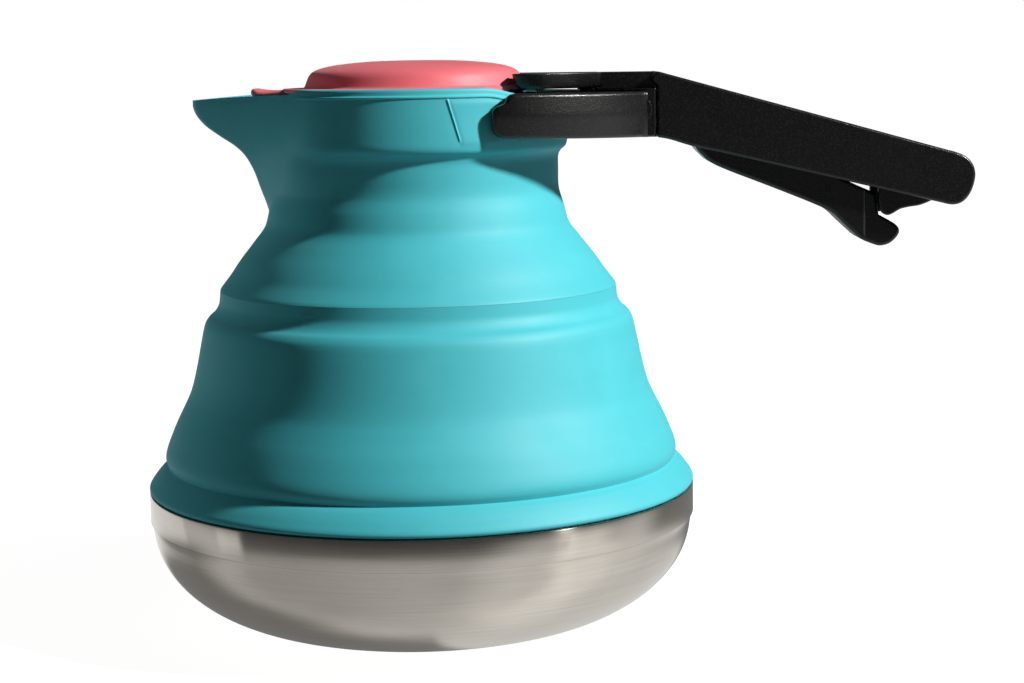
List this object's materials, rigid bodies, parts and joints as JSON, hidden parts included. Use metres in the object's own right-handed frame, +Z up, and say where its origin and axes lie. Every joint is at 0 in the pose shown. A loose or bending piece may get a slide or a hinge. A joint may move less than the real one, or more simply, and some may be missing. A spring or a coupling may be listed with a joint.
{
  "type": "collapsible kettle",
  "caption": "Camping kettle with a steel pan, a folding silicone body with a spout, a silicone lid and a black handle that folds over the lid and locks with a squeeze lever.",
  "frame": {"origin": "centre of the flat underside that the kettle stands on", "axes": "+X from the kettle's axis towards the handle, -X towards the spout, +Z up, +Y to the far side; the part is the same on both sides of the XZ plane"},
  "size_m": [0.2406, 0.16, 0.1634],
  "materials": {
    "brushed_steel": "brushed round the axis",
    "bright_steel": "plain bright wire and screws",
    "turquoise_silicone": "soft matt silicone",
    "coral_silicone": "soft matt silicone",
    "black_nylon": "finely textured moulded nylon",
    "grey_nylon": "moulded nylon, hidden inside the collar"
  },
  "bodies": {
    "pan": {"steel_pan": "brushed_steel", "clamp_ring": "bright_steel", "silicone_wall": "turquoise_silicone"},
    "waist": {"silicone_band": "turquoise_silicone", "silicone_cone": "turquoise_silicone"},
    "top": {"silicone_neck": "turquoise_silicone", "neck_ring": "grey_nylon", "lid_strap": "coral_silicone", "handle_yoke": "black_nylon", "lid_keeper": "black_nylon", "band_screw_1": "bright_steel", "band_screw_2": "bright_steel", "band_screw_3": "bright_steel", "band_screw_4": "bright_steel", "keeper_screw_1": "bright_steel", "keeper_screw_2": "bright_steel", "hinge_pin": "bright_steel"},
    "lid_body": {"lid": "coral_silicone"},
    "arm": {"handle_arm": "black_nylon", "end_guide": "black_nylon", "guide_screw": "bright_steel", "lever_pin": "bright_steel", "lever_spring": "bright_steel"},
    "lever": {"squeeze_lever": "black_nylon"}
  },
  "joints": [
    {"name": "wall_fold", "type": "slide", "parent": "pan", "child": "waist", "axis": [0, 0, -1], "range_m": [0, 0.054], "deforming": ["silicone_wall"]},
    {"name": "cone_fold", "type": "slide", "parent": "waist", "child": "top", "axis": [0, 0, -1], "range_m": [0, 0.03], "deforming": ["silicone_cone"]},
    {"name": "lid_open", "type": "hinge", "parent": "top", "child": "lid_body", "pos_m": [0.0318, 0, 0.1593], "axis": [0, 1, 0], "range_deg": [0, 100]},
    {"name": "handle_fold", "type": "hinge", "parent": "top", "child": "arm", "pos_m": [0.0698, 0, 0.1573], "axis": [0, 1, 0], "range_deg": [-180, 0]},
    {"name": "lever_squeeze", "type": "hinge", "parent": "arm", "child": "lever", "pos_m": [0.0845, 0, 0.1393], "axis": [0, 1, 0], "range_deg": [-7, 0], "stiffness_Nm_per_rad": 0.6, "springref_deg": 6.88, "deforming": ["lever_spring"]}
  ]
}
